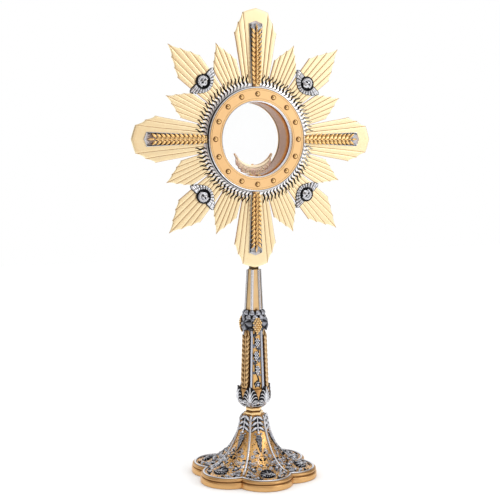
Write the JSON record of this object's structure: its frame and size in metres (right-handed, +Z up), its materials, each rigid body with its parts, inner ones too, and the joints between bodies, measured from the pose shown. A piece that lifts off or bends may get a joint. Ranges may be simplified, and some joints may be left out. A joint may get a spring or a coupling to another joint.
{
  "type": "monstrance",
  "caption": "Free-standing altar monstrance: pleated sunburst with wheat and cherubs round a glazed host case, on a six-sided vine stem and a six-lobed foot.",
  "frame": {"origin": "on the table plane, on the stem axis, under the middle of the foot", "axes": "+Z up the stem, -Y towards the front of the case, +X to the viewer's right"},
  "size_m": [0.399, 0.1994, 0.7245],
  "materials": {
    "gilt": "polished gilding",
    "pale_gilt": "bright pale gilding",
    "silvered": "silver plate, darkened in the hollows",
    "steel": "plain",
    "clear_glass": "clear"
  },
  "bodies": {
    "stand": {"foot_rim": "gilt", "foot_dome": "gilt", "collar": "gilt", "cup": "gilt", "shaft": "gilt", "shaft_wheat": "gilt", "capital_grapes": "gilt", "neck": "gilt", "glory_post": "gilt", "wheat_north": "gilt", "wheat_west": "gilt", "wheat_south": "gilt", "wheat_east": "gilt", "case_lining": "gilt", "front_bezel": "gilt", "bezel_studs": "gilt", "lunette_guide": "gilt", "ray_north": "pale_gilt", "ray_west": "pale_gilt", "ray_south": "pale_gilt", "ray_east": "pale_gilt", "ray_northwest": "pale_gilt", "ray_southwest": "pale_gilt", "ray_southeast": "pale_gilt", "ray_northeast": "pale_gilt", "side_rays_northwest": "pale_gilt", "side_rays_southwest": "pale_gilt", "side_rays_southeast": "pale_gilt", "side_rays_northeast": "pale_gilt", "foot_edge_band": "silvered", "foot_ribs": "silvered", "foot_palmettes": "silvered", "foot_filigree": "silvered", "cup_leaves": "silvered", "shaft_edges": "silvered", "shaft_vines": "silvered", "capital_leaves": "silvered", "neck_edges": "silvered", "flame_ring": "silvered", "wheat_plates": "silvered", "cherub_northwest": "silvered", "cherub_southwest": "silvered", "cherub_southeast": "silvered", "cherub_northeast": "silvered", "case_drum": "silvered", "bezel_rim": "silvered", "glass_ring": "silvered", "base_plate": "steel", "tie_rod": "steel", "tie_nut": "steel", "hinge_pin": "steel", "latch_screw": "steel", "front_glass": "clear_glass"},
    "rear_door": {"rear_door": "gilt", "rear_glass": "clear_glass"},
    "door_latch": {"latch_button": "gilt"},
    "lunette": {"lunette_stand": "pale_gilt", "lunette_crescent": "pale_gilt"},
    "clip": {"clip_leaf": "pale_gilt"}
  },
  "joints": [
    {"name": "door_hinge", "type": "hinge", "parent": "stand", "child": "rear_door", "pos_m": [-0.0802, 0.0333, 0.525], "axis": [0, 0, 1], "range_deg": [0, 115]},
    {"name": "latch_turn", "type": "hinge", "parent": "stand", "child": "door_latch", "pos_m": [0.0835, 0.0356, 0.525], "axis": [0, -1, 0], "range_deg": [0, 90]},
    {"name": "lunette_slide", "type": "slide", "parent": "stand", "child": "lunette", "axis": [0, 1, 0], "range_m": [0, 0.012]},
    {"name": "clip_hinge", "type": "hinge", "parent": "lunette", "child": "clip", "pos_m": [0, 0.0064, 0.4789], "axis": [-1, 0, 0], "range_deg": [0, 25]}
  ]
}
